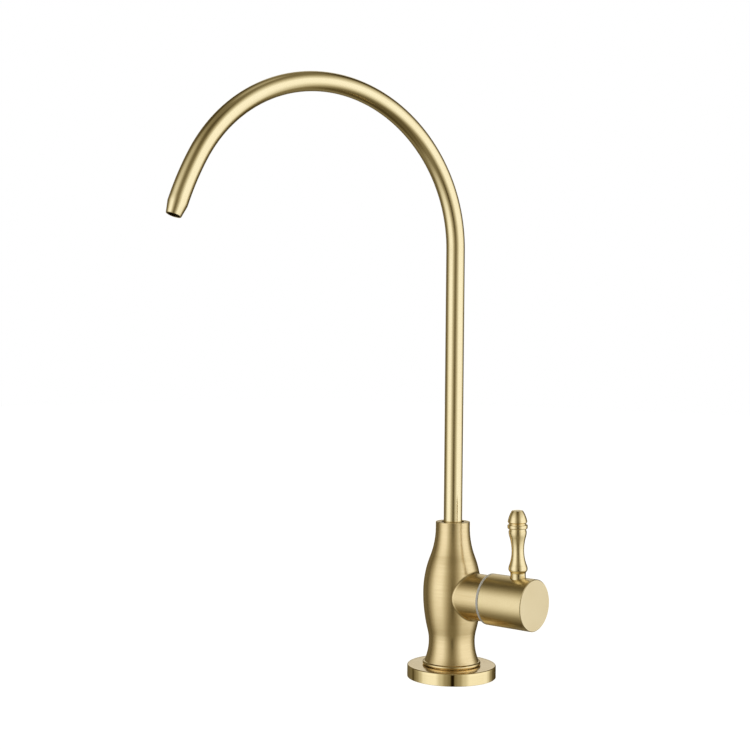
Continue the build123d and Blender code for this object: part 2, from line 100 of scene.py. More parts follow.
card_share = 0.85
green_fall = 1.1
blue_fall = 1.4
studio = bpy.data.worlds.new("studio")
bpy.context.scene.world = studio
studio.use_nodes = True
tree = studio.node_tree
tree.nodes.clear()
towards = add(tree, "ShaderNodeTexCoord").outputs["Generated"]
east, north, height = add(tree, "ShaderNodeSeparateXYZ", {0: towards}).outputs
bearing = calculate(tree, "ARCTAN2", east, calculate(tree, "MULTIPLY", north, -1))
turned_from_camera = calculate(tree, "SUBTRACT", bearing, azimuth)
side = calculate(tree, "WRAP", calculate(tree, "DIVIDE", turned_from_camera, 2 * pi), 1, 0)
rise = add(tree, "ShaderNodeMapRange", {"Value": height, 1: -1, 2: 1}).outputs[0]
front_card = ramp(tree, side, [
    (0.000, 0.01), (0.008, 0.02), (0.017, 0.22), (0.050, 0.36), (0.085, 0.66), (0.130, 1.0),
    (0.870, 1.0), (0.915, 0.62), (0.950, 0.33), (0.980, 0.20), (0.992, 0.02), (1.000, 0.01),
])
side_cards = ramp(tree, side, [
    (0.170, 1.08), (0.250, 1.06), (0.275, 1.04), (0.300, 0.78), (0.330, 0.38), (0.370, 0.12), (0.430, 0.05),
    (0.470, 0.16), (0.530, 0.20), (0.570, 0.15), (0.640, 0.19), (0.655, 0.11), (0.668, 0.08), (0.685, 0.22),
    (0.715, 0.34), (0.745, 0.60), (0.780, 0.97), (0.820, 1.08),
])
on_the_table = ramp(tree, rise, [(0.02, 1.0), (0.12, 0.0)])
haze = ramp(tree, rise, [(0.41, 0.0), (0.52, 0.15), (0.62, 0.15), (0.70, 0.22)])
table = ramp(tree, rise, [(0.0, 0.06), (0.06, 0.09), (0.14, 0.22), (0.22, 0.20), (0.30, 0.07), (0.36, 0.0)])
softened = add(tree, "ShaderNodeMix", {0: on_the_table, 2: front_card, 3: card_share}).outputs[0]
front = calculate(tree, "MAXIMUM", softened, haze)
boxes = ramp(tree, rise, [
    (0.000, 0.12), (0.067, 0.16), (0.117, 0.29), (0.213, 0.62), (0.329, 0.89), (0.430, 1.0),
    (0.671, 1.0), (0.772, 0.74), (0.854, 0.49), (0.919, 0.27), (0.955, 0.20), (0.980, 0.18), (0.996, 0.40),
])
overhead = ramp(tree, rise, [(0.91, 0.0), (0.96, 1.0)])
behind = ramp(tree, side, [(0.43, 0.0), (0.47, 1.0), (0.53, 1.0), (0.57, 0.0)])
back_wall = ramp(tree, rise, [(0.56, 0.0), (0.60, 0.70)])
walls = calculate(tree, "MULTIPLY", front, side_cards)
walls = calculate(tree, "MAXIMUM", walls, calculate(tree, "MULTIPLY", behind, back_wall))
level_in_room = add(tree, "ShaderNodeMix", {0: overhead, 2: walls, 3: 1.0}).outputs[0]
glow = calculate(tree, "MAXIMUM", calculate(tree, "MULTIPLY", level_in_room, boxes), table)
room = add(tree, "ShaderNodeCombineColor", {
    0: glow, 1: calculate(tree, "POWER", glow, green_fall), 2: calculate(tree, "POWER", glow, blue_fall),
}).outputs[0]
seen = add(tree, "ShaderNodeLightPath").outputs["Is Camera Ray"]
shown = add(tree, "ShaderNodeMix", {0: seen, 6: room, 7: (1, 1, 1, 1)}, data_type="RGBA").outputs[2]
light = add(tree, "ShaderNodeBackground", {"Color": shown, "Strength": 1}).outputs[0]
add(tree, "ShaderNodeOutputWorld", {"Surface": light})

floor_half = 3000 * mm
floor_level = -0.02 * mm
floor_glow = 0.92
floor_mesh = bpy.data.meshes.new("worktop")
corners = [(x * floor_half, y * floor_half, floor_level) for x, y in ((-1, -1), (1, -1), (1, 1), (-1, 1))]
floor_mesh.from_pydata(corners, [], [(0, 1, 2, 3)])
worktop = bpy.data.objects.new("worktop", floor_mesh)
bpy.context.scene.collection.objects.link(worktop)
white_worktop = bpy.data.materials.new("white_worktop")
white_worktop.use_nodes = True
tree = white_worktop.node_tree
tree.nodes.clear()
shaded = add(tree, "ShaderNodeBsdfDiffuse", {"Color": (0.5, 0.5, 0.5, 1)}).outputs[0]
lifted = add(tree, "ShaderNodeEmission", {"Color": (1, 1, 1, 1), "Strength": floor_glow}).outputs[0]
both = add(tree, "ShaderNodeAddShader", {0: shaded, 1: lifted}).outputs[0]
seen = add(tree, "ShaderNodeLightPath").outputs["Is Camera Ray"]
top = add(tree, "ShaderNodeMixShader", {0: seen, 1: shaded, 2: both}).outputs[0]
add(tree, "ShaderNodeOutputMaterial", {"Surface": top})
worktop.data.materials.append(white_worktop)
worktop.visible_glossy = False

# The spout tube: thin brass tube bent to a swan neck, its end drawn in to a nozzle. It is gold plated
# and rubbed with fine rings along its whole length. Its foot is brazed into the stem that turns in the body.
tube_radius = 4.85
tube_wall = 1.0
tube_foot = 70.6
arch_radius = 78.7
arch_spring_height = 223.6
arch_sweep = radians(151.6)
run_out_radius = 150.8
run_out_sweep = radians(8.6)
spout_swing = radians(16.7)
nozzle_straight = 2.8
nozzle_taper = 5.9
nozzle_tip_radius = 3.73
nozzle_wall = 0.6
nozzle_land = 4.0
nozzle_lip = 0.12


def set_inputs(modifier, values):
    """Fills a node modifier's named inputs through their identifiers."""
    for item in modifier.node_group.interface.items_tree:
        if item.item_type == "SOCKET" and item.in_out == "INPUT" and item.name in values:
            modifier[item.identifier] = values[item.name]


def new_tree(name, sockets):
    """An empty geometry tree with a geometry input and output and the named inputs between them."""
    made = bpy.data.node_groups.new(name, "GeometryNodeTree")
    made.interface.new_socket("Outline", in_out="INPUT", socket_type="NodeSocketGeometry")
    for socket, kind in sockets.items():
        made.interface.new_socket(socket, in_out="INPUT", socket_type="NodeSocket" + kind)
    made.interface.new_socket("Piece", in_out="OUTPUT", socket_type="NodeSocketGeometry")
    return made


def rings_of(tree, given):
    """The start of both lathe trees: a grid with a row for each outline point, and where each point lies."""
    size = add(tree, "GeometryNodeAttributeDomainSize", {0: given["Outline"]}, component="MESH")
    count = size.outputs["Point Count"]
    sides = calculate(tree, "ADD", given["Sides"], 1)
    spread = {"Size X": 1, "Size Y": 1, "Vertices X": sides, "Vertices Y": count}
    grid = add(tree, "GeometryNodeMeshGrid", spread)
    round_share, along_share, _ = add(tree, "ShaderNodeSeparateXYZ", {0: grid.outputs["UV Map"]}).outputs
    last = calculate(tree, "SUBTRACT", count, 1)
    row = calculate(tree, "ROUND", calculate(tree, "MULTIPLY", along_share, last))
    place = add(tree, "GeometryNodeInputPosition").outputs[0]
    point = add(tree, "GeometryNodeSampleIndex", {0: given["Outline"], "Value": place, "Index": row},
                data_type="FLOAT_VECTOR", domain="POINT").outputs[0]
    out, _, along = add(tree, "ShaderNodeSeparateXYZ", {0: point}).outputs
    angle = calculate(tree, "MULTIPLY", round_share, 2 * pi)
    return grid.outputs["Mesh"], row, round_share, angle, out, along


def close_piece(tree, mesh, placed, straight, finish):
    """The end of both trees: points moved to their places, seams merged, and the finish set."""
    seam = 0.002 * mm
    moved = add(tree, "GeometryNodeSetPosition", {"Geometry": mesh, "Position": placed}).outputs[0]
    stored = {"Geometry": moved, "Name": "straight", "Value": straight}
    named = add(tree, "GeometryNodeStoreNamedAttribute", stored, data_type="FLOAT_VECTOR", domain="POINT")
    doubled = {"Geometry": named.outputs[0], "Distance": seam}
    merged = add(tree, "GeometryNodeMergeByDistance", doubled).outputs[0]
    real = add(tree, "GeometryNodeRealizeInstances", {0: merged}).outputs[0]
    dressed = add(tree, "GeometryNodeSetMaterial", {"Geometry": real, "Material": finish}).outputs[0]
    add(tree, "NodeGroupOutput", {0: dressed})


def bent_lathe():
    """Turns an outline of radii and lengths round a path, like a tube that was turned and then bent."""
    tree = new_tree("bent_lathe", {"Path": "Object", "Sides": "Int", "Finish": "Material"})
    given = add(tree, "NodeGroupInput").outputs
    mesh, _, _, angle, out, along = rings_of(tree, given)
    path = add(tree, "GeometryNodeObjectInfo", {"Object": given["Path"]}).outputs["Geometry"]
    spot = add(tree, "GeometryNodeSampleCurve", {"Curves": path, "Length": along}, mode="LENGTH")
    beside = add(tree, "ShaderNodeVectorMath", {0: spot.outputs["Tangent"], 1: spot.outputs["Normal"]},
                 operation="CROSS_PRODUCT").outputs[0]
    x, y = (calculate(tree, "MULTIPLY", out, calculate(tree, way, angle)) for way in ("COSINE", "SINE"))
    one = add(tree, "ShaderNodeVectorMath", {0: spot.outputs["Normal"], "Scale": x}, operation="SCALE")
    two = add(tree, "ShaderNodeVectorMath", {0: beside, "Scale": y}, operation="SCALE")
    rim = add(tree, "ShaderNodeVectorMath", {0: one.outputs[0], 1: two.outputs[0]}, operation="ADD")
    middle = spot.outputs["Position"]
    placed = add(tree, "ShaderNodeVectorMath", {0: rim.outputs[0], 1: middle}, operation="ADD").outputs[0]
    straight = add(tree, "ShaderNodeCombineXYZ", {0: x, 1: y, 2: along}).outputs[0]
    close_piece(tree, mesh, placed, straight, given["Finish"])
    return tree


def lathe():
    """Turns an outline of radii and heights round Z, and cuts a thread where the outline is marked for it."""
    flat_share = 0.06
    tree = new_tree("lathe", {"Sides": "Int", "Pitch": "Float", "Depth": "Float", "Finish": "Material"})
    given = add(tree, "NodeGroupInput").outputs
    mesh, row, round_share, angle, out, along = rings_of(tree, given)
    marked = add(tree, "GeometryNodeInputNamedAttribute", {"Name": "threaded"}, data_type="FLOAT").outputs[0]
    cut = add(tree, "GeometryNodeSampleIndex", {0: given["Outline"], "Value": marked, "Index": row},
              data_type="FLOAT", domain="POINT").outputs[0]
    turns = calculate(tree, "SUBTRACT", calculate(tree, "DIVIDE", along, given["Pitch"]), round_share)
    valley = calculate(tree, "PINGPONG", turns, 0.5)
    share = add(tree, "ShaderNodeMapRange", {"Value": valley, 1: flat_share, 2: 0.5 - flat_share}).outputs[0]
    lower = calculate(tree, "MULTIPLY", calculate(tree, "MULTIPLY", share, given["Depth"]), cut)
    radius = calculate(tree, "SUBTRACT", out, lower)
    x, y = (calculate(tree, "MULTIPLY", radius, calculate(tree, way, angle)) for way in ("COSINE", "SINE"))
    placed = add(tree, "ShaderNodeCombineXYZ", {0: x, 1: y, 2: along}).outputs[0]
    close_piece(tree, mesh, placed, placed, given["Finish"])
    return tree


def outline_object(name, points, threaded=()):
    """An object whose mesh is the outline's points, radius along X and height along Z, in metres."""
    mesh = bpy.data.meshes.new(name)
    edges = [(first, first + 1) for first in range(len(points) - 1)]
    mesh.from_pydata([(radius * mm, 0, height * mm) for radius, height in points], edges, [])
    if threaded:
        marks = mesh.attributes.new("threaded", "FLOAT", "POINT")
        marks.data.foreach_set("value", [float(mark) for mark in threaded])
    made = bpy.data.objects.new(name, mesh)
    bpy.context.scene.collection.objects.link(made)
    return made


def keep_result(piece):
    """Swaps a piece's mesh for what its modifiers make of it, and takes them off."""
    bpy.context.view_layer.update()
    graph = bpy.context.evaluated_depsgraph_get()
    shown = piece.evaluated_get(graph)
    made = bpy.data.meshes.new_from_object(shown, preserve_all_data_layers=True, depsgraph=graph)
    piece.modifiers.clear()
    old, piece.data = piece.data, made
    bpy.data.meshes.remove(old)
    return piece


def crisp(piece, place=Matrix(), angle=radians(24)):
    """Puts a finished mesh in its place, turns its faces outwards, and leaves only its real edges sharp."""
    piece.data.transform(place)
    shape = bmesh.new()
    shape.from_mesh(piece.data)
    bmesh.ops.recalc_face_normals(shape, faces=shape.faces)
    shape.to_mesh(piece.data)
    shape.free()
    piece.data.shade_smooth()
    piece.data.set_sharp_from_angle(angle=angle)
    piece.data.name = piece.name
    return piece


def satin_gold(name, colour, deep, roughness, coordinates, line_scale, line_depth, grain_scale, grain_depth,
               beyond=None):
    """Gold plating over brass: fine rubbed lines, a fine grain, and slow changes of shade and gloss.

    Scales are per metre and depths in millimetres. Coordinates are "object", or "straight" for a piece
    that was bent or leans. A part that is finished apart from the rest lies beyond a place on an axis,
    and has a roughness of its own and a colour that is its own tone and painted sheen: on the hub's face
    and the plate's top that colour is lighter and paler than the rest, to paint brighter light there.
    """
    cloud_scale = 55
    cloud_share = 0.22
    streak_share = 0.32
    gloss_swing = 0.01
    made = bpy.data.materials.new(name)
    made.use_nodes = True
    tree = made.node_tree
    tree.nodes.clear()
    if coordinates == "straight":
        where = add(tree, "ShaderNodeAttribute", attribute_name="straight").outputs["Vector"]
    else:
        where = add(tree, "ShaderNodeTexCoord").outputs["Object"]
    stretched = add(tree, "ShaderNodeMapping", {"Vector": where, "Scale": line_scale}).outputs[0]
    rubbing = {"Vector": stretched, "Scale": 1, "Detail": 3, "Roughness": 0.6}
    lines = add(tree, "ShaderNodeTexNoise", rubbing).outputs[0]
    grain = add(tree, "ShaderNodeTexNoise", {"Vector": where, "Scale": grain_scale, "Detail": 2}).outputs[0]
    cloud = add(tree, "ShaderNodeTexNoise", {"Vector": where, "Scale": cloud_scale, "Detail": 3}).outputs[0]
    shade = add(tree, "ShaderNodeMapRange", {"Value": cloud, 1: 0.35, 2: 0.65, 4: cloud_share}).outputs[0]
    streak = add(tree, "ShaderNodeMapRange", {"Value": lines, 1: 0.3, 2: 0.7, 4: streak_share}).outputs[0]
    depth = calculate(tree, "ADD", shade, streak)
    tints = {0: depth, 6: (*colour, 1), 7: (*deep, 1)}
    tint = add(tree, "ShaderNodeMix", tints, data_type="RGBA").outputs[2]
    if beyond:
        axis, place, far_roughness, far_tone_and_sheen = beyond
        change = 0.1
        reach = add(tree, "ShaderNodeSeparateXYZ", {0: where}).outputs[axis]
        edge = {"Value": reach, 1: (place - change) * mm, 2: place * mm}
        past = add(tree, "ShaderNodeMapRange", edge).outputs[0]
        roughness = add(tree, "ShaderNodeMix", {0: past, 2: roughness, 3: far_roughness}).outputs[0]
        # the far part's colour is its own tone and painted sheen, lighter and paler where it stands for
        # brighter light
        far_deep_tone_and_sheen = [far * low / high for far, low, high in zip(far_tone_and_sheen, deep, colour)]
        far_tone_and_sheen_tints = {0: depth, 6: (*far_tone_and_sheen, 1), 7: (*far_deep_tone_and_sheen, 1)}
        far_tone_and_sheen_tint = add(tree, "ShaderNodeMix", far_tone_and_sheen_tints, data_type="RGBA").outputs[2]
        tint = add(tree, "ShaderNodeMix", {0: past, 6: tint, 7: far_tone_and_sheen_tint}, data_type="RGBA").outputs[2]
    swing = {"Value": lines, 1: 0.3, 2: 0.7, 3: -gloss_swing, 4: gloss_swing}
    gloss = calculate(tree, "ADD", roughness, add(tree, "ShaderNodeMapRange", swing).outputs[0])
    line_bump = {"Strength": 1, "Distance": line_depth * mm, "Height": lines}
    rubbed = add(tree, "ShaderNodeBump", line_bump).outputs[0]
    grain_bump = {"Strength": 1, "Distance": grain_depth * mm, "Height": grain, "Normal": rubbed}
    blasted = add(tree, "ShaderNodeBump", grain_bump).outputs[0]
    metal = {"Base Color": tint, "Metallic": 1, "Roughness": gloss, "Normal": blasted}
    surface = add(tree, "ShaderNodeBsdfPrincipled", metal).outputs[0]
    add(tree, "ShaderNodeOutputMaterial", {"Surface": surface})
    return made


rubbed_gold = satin_gold(
    "rubbed_gold", (0.94, 0.83, 0.53), (0.88, 0.73, 0.42), 0.17, "straight",
    line_scale=(120, 120, 5200), line_depth=0.0015, grain_scale=3000, grain_depth=0.0004,
)

# the tube's outline, as radii and lengths along its line: up the outside, round the nozzle's tip, and back
arch_steps = 72
run_out_steps = 8
riser_length = arch_spring_height - tube_foot
arch_length = arch_radius * arch_sweep
run_out_length = run_out_radius * run_out_sweep
arch_end = riser_length + arch_length
straight_end = arch_end + run_out_length + nozzle_straight
tip = straight_end + nozzle_taper
stations = [0, riser_length / 2]
stations += [riser_length + arch_length * step / arch_steps for step in range(arch_steps + 1)]
stations += [arch_end + run_out_length * step / run_out_steps for step in range(1, run_out_steps + 1)]
tip_bore = nozzle_tip_radius - nozzle_wall
tube_outline = [(tube_radius, along) for along in stations]
tube_outline += [(tube_radius, straight_end), (nozzle_tip_radius, tip - nozzle_lip)]
tube_outline += [(nozzle_tip_radius - nozzle_lip, tip), (tip_bore + nozzle_lip, tip)]
tube_outline += [(tip_bore, tip - nozzle_lip), (tip_bore, tip - nozzle_land)]
tube_outline += [(tube_radius - tube_wall, straight_end)]
tube_outline += [(tube_radius - tube_wall, along) for along in reversed(stations)]
tube_outline += [tube_outline[0]]

# the tube's own line: up the riser, round the arch, and out through a gentler bend
bend_count = 6
route = [(0, tube_foot, pi / 2), (0, arch_spring_height, pi / 2)]
for radius, sweep, count in ((arch_radius, arch_sweep, bend_count), (run_out_radius, run_out_sweep, 1)):
    for _ in range(count):
        out, up, heading = route[-1]
        turn = sweep / count
        centre_out, centre_up = out + radius * sin(heading), up - radius * cos(heading)
        heading -= turn
        route.append((centre_out - radius * sin(heading), centre_up + radius * cos(heading), heading))
out, up, heading = route[-1]
nozzle_length = nozzle_straight + nozzle_taper
route.append((out + nozzle_length * cos(heading), up + nozzle_length * sin(heading), heading))
line = bpy.data.curves.new("spout_line", "CURVE")
line.dimensions = "3D"
line.resolution_u = 48
spline = line.splines.new("BEZIER")
spline.bezier_points.add(len(route) - 1)


def on_spout(out, up):
    """A point of the spout's own upright plane, out from the riser and up from the worktop."""
    return Vector((-sin(spout_swing) * out, -cos(spout_swing) * out, up)) * mm


def handle_length(start, end):
    """How long the curve's handles are between two points of the route, a third of a straight stretch."""
    turn = start[2] - end[2]
    chord = hypot(end[0] - start[0], end[1] - start[1])
    if isclose(start[2], end[2]):
        return chord / 3
    return 4 / 3 * tan(turn / 4) * chord / (2 * sin(turn / 2))


for place, point in enumerate(route):
    bend = spline.bezier_points[place]
    bend.handle_left_type = bend.handle_right_type = "FREE"
    out, up, heading = point
    before = handle_length(route[place - 1], point) if place else 1
    after = handle_length(point, route[place + 1]) if place < len(route) - 1 else 1
    bend.co = on_spout(out, up)
    bend.handle_left = on_spout(out - before * cos(heading), up - before * sin(heading))
    bend.handle_right = on_spout(out + after * cos(heading), up + after * sin(heading))
spout_line = bpy.data.objects.new("spout_line", line)
bpy.context.scene.collection.objects.link(spout_line)

spout = outline_object("swan_neck_spout", tube_outline)
turning = spout.modifiers.new("turned_and_bent", "NODES")
turning.node_group = bent_lathe()
set_inputs(turning, {"Path": spout_line, "Sides": 72, "Finish": rubbed_gold})
crisp(keep_result(spout))
bpy.data.objects.remove(spout_line)
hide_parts("spout_tube")
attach(spout, "spout")

# The body: one brass forging, turned from its foot to its collar and bored for the spout's stem, with a
# round boss on its side that takes the cartridge. It is rubbed round and round, then gold plated.
collar_radius = 8.95
collar_top = 81.5
collar_height = 3.0
collar_edge = 0.12
bulb_radius = 15.25
bulb_height = 44.5
bulb_upper_share = 0.55
bulb_lower_share = 0.79
waist_radius = 12.05
waist_height = 19.1
foot_radius = 15.25
foot_bead = 1.0
foot_seat_radius = 13.0
foot_gap = 0.3
foot_height = 6.45
socket_radius = 5.85
socket_depth = 21.5
snap_groove_depth = 0.8
snap_ring_from = 77.0
snap_ring_to = 78.2
shank_hole_radius = 5.61
shank_top = 18.45
groove_inside = 9.55
groove_outside = 11.25
groove_roof = 8.05
handle_height = 43.7
boss_radius = 12.0
boss_reach = 24.75
boss_edge = 0.12
boss_thread_radius = 9.0
boss_thread_length = 8.0
boss_mouth_radius = 10.2
boss_mouth_depth = 1.25
chamber_radius = 8.2
chamber_floor = 3.5
corner_radius = 1.5
overrun = 1.25

turning_tree = lathe()


def turned(name, points, finish, sides=192, threaded=(), pitch=1.0, depth=0.0):
    """A piece turned from an outline of radii and heights, as a plain mesh."""
    made = outline_object(name, points, threaded)
    work = made.modifiers.new("turned", "NODES")
    work.node_group = turning_tree
    set_inputs(work, {"Sides": sides, "Pitch": pitch * mm, "Depth": depth * mm, "Finish": finish})
    return keep_result(made)


def upright_arc(start, end, steps):
    """Points of the arc that leaves start upright and ends at end, without its start."""
    (radius, height), (end_radius, end_height) = start, end
    run, climb = end_radius - radius, end_height - height
    bend = (run * run + climb * climb) / (2 * run)
    whole = atan2(abs(climb / bend), (bend - run) / bend)
    way = abs(bend) * (1 if climb > 0 else -1)
    turns = [whole * step / steps for step in range(1, steps + 1)]
    return [(radius + bend * (1 - cos(turn)), height + way * sin(turn)) for turn in turns]


def curve_between(start, end, convex_share, steps):
    """Points of two arcs that leave start and reach end upright, without the start."""
    turn = tuple(a + (b - a) * convex_share for a, b in zip(start, end))
    return upright_arc(start, turn, steps) + upright_arc(end, turn, steps)[-2::-1] + [end]


def straight_run(start, end, steps):
    """Evenly spaced points from start to end, without the start."""
    shares = [step / steps for step in range(1, steps + 1)]
    return [tuple(a + (b - a) * share for a, b in zip(start, end)) for share in shares]


def bored(piece, cutter, operation="DIFFERENCE"):
    """Cuts another solid out of a piece, or joins it on, and removes the other."""
    work = piece.modifiers.new("bored", "BOOLEAN")
    work.operation = operation
    work.solver = "EXACT"
    work.object = cutter
    keep_result(piece)
    bpy.data.objects.remove(cutter)
    return piece


satin_body_gold = satin_gold(
    "satin_body_gold", (0.90, 0.75, 0.44), (0.76, 0.58, 0.29), 0.12, "object",
    line_scale=(60, 60, 1500), line_depth=0.004, grain_scale=2400, grain_depth=0.003,
    beyond=(2, 8.5, 0.26, (0.89, 0.735, 0.43)),
)

bead_middle, bead_inside = foot_height + foot_bead, foot_radius - foot_bead
waist, bulb = (waist_radius, waist_height), (bulb_radius, bulb_height)
collar_foot = (collar_radius, collar_top - collar_height)
body_outline = [(0, shank_top), (shank_hole_radius, shank_top), (shank_hole_radius, foot_height)]
body_outline += [(groove_inside, foot_height), (groove_inside, groove_roof)]
body_outline += [(groove_outside, groove_roof), (groove_outside, foot_height)]
body_outline += [(foot_seat_radius, foot_height), (foot_seat_radius, foot_height + foot_gap)]
bead_steps = 12
bead_start = acos(1 - foot_gap / foot_bead)
bead_turns = [bead_start + (pi - bead_start) * step / bead_steps for step in range(bead_steps + 1)]
body_outline += [
    (bead_inside + foot_bead * sin(turn), bead_middle - foot_bead * cos(turn)) for turn in bead_turns
]
body_outline += upright_arc(waist, (bead_inside, bead_middle + foot_bead), steps=22)[-2::-1] + [waist]
body_outline += curve_between(bulb, waist, bulb_lower_share, steps=24)[-2::-1] + [bulb]
body_outline += curve_between(bulb, collar_foot, bulb_upper_share, steps=30)
body_outline += [(collar_radius, collar_top - collar_edge), (collar_radius - collar_edge, collar_top)]
body_outline += [(socket_radius + collar_edge, collar_top), (socket_radius, collar_top - collar_edge)]
body_outline += [(socket_radius, snap_ring_to), (socket_radius + snap_groove_depth, snap_ring_to)]
body_outline += [(socket_radius + snap_groove_depth, snap_ring_from), (socket_radius, snap_ring_from)]
body_outline += [(socket_radius, collar_top - socket_depth), (0, collar_top - socket_depth)]
boss_outline = [(0, 0), *straight_run((0, 0), (boss_radius, 0), steps=6)]
boss_outline += straight_run((boss_radius, 0), (boss_radius, boss_reach - boss_edge), steps=30)
boss_outline += [(boss_radius - boss_edge, boss_reach), (0, boss_reach)]
thread_foot, mouth_floor = boss_reach - boss_thread_length, boss_reach - boss_mouth_depth
past_boss = boss_reach + overrun
chamber = [(0, chamber_floor), (chamber_radius, chamber_floor), (chamber_radius, thread_foot)]
chamber += [(boss_thread_radius, thread_foot), (boss_thread_radius, mouth_floor)]
chamber += [(boss_mouth_radius, mouth_floor), (boss_mouth_radius, past_boss), (0, past_boss)]

along_handle = Matrix.Translation((0, 0, handle_height * mm)) @ Matrix.Rotation(pi / 2, 4, "Y")
body = crisp(turned("forged_body", body_outline, satin_body_gold))
boss = crisp(turned("boss", boss_outline, satin_body_gold), along_handle)
chamber_tool = crisp(turned("chamber_tool", chamber, satin_body_gold, sides=96), along_handle)
crisp(bored(bored(body, boss, "UNION"), chamber_tool))

# the forging's own soft corner where the boss runs into the bulb: a hollow arc that touches both, closed
# at its back by a line of points that lies inside the metal
corner_steps = 6
round_steps = 160
touch_tries = 12
sunk_share = 0.6
side_foot = foot_height + 2 * foot_bead
turned_side = [point for point in body_outline if side_foot <= point[1] <= collar_top - collar_height]
turned_side = [point for point in turned_side if point[0] >= collar_radius]


def body_side(height):
    """The body's outer radius at a height, and the outward direction there, as radius and height parts."""
    for (low_radius, low), (high_radius, high) in zip(turned_side, turned_side[1:]):
        if low <= height <= high:
            run, climb = high_radius - low_radius, high - low
            length = hypot(run, climb)
            return low_radius + run * (height - low) / climb, climb / length, -run / length


rings = []
for place in range(round_steps):
    angle = 2 * pi * place / round_steps
    sideways = (boss_radius + corner_radius) * cos(angle)
    up = handle_height + (boss_radius + corner_radius) * sin(angle)
    touch = up
    for _ in range(touch_tries):
        radius, outward, upward = body_side(touch)
        touch = up - corner_radius * upward
    reach = radius + corner_radius * outward
    middle = Vector(((reach * reach - sideways * sideways) ** 0.5, sideways, up))
    turn = atan2(middle.y, middle.x)
    on_body = Vector((radius * cos(turn), radius * sin(turn), touch))
    on_boss = Vector((middle.x, boss_radius * cos(angle), handle_height + boss_radius * sin(angle)))
    between = (on_body + on_boss) / 2
    sunk = between + (between - middle) * sunk_share
    first, last = (on_body - middle).normalized(), (on_boss - middle).normalized()
    arms = [first.slerp(last, step / corner_steps) for step in range(corner_steps + 1)]
    rings.append([middle + arm * corner_radius for arm in arms] + [sunk])
corner = bpy.data.meshes.new("soft_corner")
wide = corner_steps + 2
faces = []
for ring in range(round_steps):
    here, there = ring * wide, (ring + 1) % round_steps * wide
    for spot in range(wide):
        after = (spot + 1) % wide
        faces.append((here + spot, here + after, there + after, there + spot))
corner.from_pydata([point * mm for ring in rings for point in ring], [], faces)
joined = bmesh.new()
joined.from_mesh(body.data)
joined.from_mesh(corner)
joined.to_mesh(body.data)
body.data.materials.clear()
body.data.materials.append(satin_body_gold)
joined.free()
bpy.data.meshes.remove(corner)
crisp(body)
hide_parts("body")
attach(body, "fixed_body")

# The base plate: a turned brass cover with a polished rim and a rubbed top, hollow below, which hides
# the worktop hole. The body's foot stands on it, so its top is at foot_height.
base_radius = 23.25
base_round = 0.65
base_foot_edge = 0.15
base_skirt = 2.0
base_hollow = 4.05
base_hole_radius = 5.91

# The top is rubbed to a rougher gloss than the rim, and its lighter, paler gold is painted sheen.
polished_gold = satin_gold(
    "polished_gold", (0.93, 0.80, 0.47), (0.86, 0.69, 0.36), 0.05, "object",
    line_scale=(150, 150, 3000), line_depth=0.0004, grain_scale=2500, grain_depth=0.0002,
    beyond=(2, 6.3, 0.17, (0.97, 0.82, 0.54)),
)
hollow_radius = base_radius - base_skirt
round_out, round_up = base_radius - base_round, foot_height - base_round
quarter = [pi / 2 * step / 6 for step in range(7)]
plate_outline = [(base_hole_radius, base_hollow), (hollow_radius, base_hollow), (hollow_radius, 0)]
plate_outline += [(base_radius - base_foot_edge, 0), (base_radius, base_foot_edge)]
plate_outline += straight_run((base_radius, base_foot_edge), (base_radius, round_up), steps=6)
plate_outline += [
    (round_out + base_round * cos(turn), round_up + base_round * sin(turn)) for turn in quarter[1:]
]
plate_outline += straight_run((round_out, foot_height), (base_hole_radius, foot_height), steps=12)
plate_outline += [plate_outline[0]]
plate = crisp(turned("cover_plate", plate_outline, polished_gold, sides=256))
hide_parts("base_plate")
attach(plate, "fixed_body")

# The glide ring: a plain white plastic ring on the end of the boss, which the hub turns against.
ring_outer_x = 26.05
ring_bore = 9.05
ring_radius = 13.15
ring_edge = 0.15


def moulded(name, colour, roughness, mottle, bump):
    """Moulded plastic or rubber, with a faint mottle and a skin that is slightly uneven."""
    cloud_scale = 180
    skin_scale = 1600
    gloss_swing = 0.05
    made = bpy.data.materials.new(name)
    made.use_nodes = True
    tree = made.node_tree
    tree.nodes.clear()
    where = add(tree, "ShaderNodeTexCoord").outputs["Object"]
    cloud = add(tree, "ShaderNodeTexNoise", {"Vector": where, "Scale": cloud_scale, "Detail": 4}).outputs[0]
    skin = add(tree, "ShaderNodeTexNoise", {"Vector": where, "Scale": skin_scale, "Detail": 2}).outputs[0]
    darker = tuple(part * (1 - mottle) for part in colour)
    tints = {0: cloud, 6: (*colour, 1), 7: (*darker, 1)}
    tint = add(tree, "ShaderNodeMix", tints, data_type="RGBA").outputs[2]
    swing = {"Value": cloud, 3: roughness - gloss_swing, 4: roughness + gloss_swing}
    gloss = add(tree, "ShaderNodeMapRange", swing).outputs[0]
    uneven = add(tree, "ShaderNodeBump", {"Strength": 1, "Distance": bump * mm, "Height": skin}).outputs[0]
    plain = {"Base Color": tint, "Roughness": gloss, "Normal": uneven}
    surface = add(tree, "ShaderNodeBsdfPrincipled", plain).outputs[0]
    add(tree, "ShaderNodeOutputMaterial", {"Surface": surface})
    return made


glide_plastic = moulded("glide_plastic", (0.97, 0.985, 1.0), 0.30, 0.04, 0.002)
ring_outline = [(ring_bore, boss_reach), (ring_radius - ring_edge, boss_reach)]
ring_outline += [(ring_radius, boss_reach + ring_edge), (ring_radius, ring_outer_x - ring_edge)]
ring_outline += [(ring_radius - ring_edge, ring_outer_x), (ring_bore, ring_outer_x), ring_outline[0]]
ring = crisp(turned("glide_washer", ring_outline, glide_plastic), along_handle)
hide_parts("glide_ring")
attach(ring, "fixed_body")

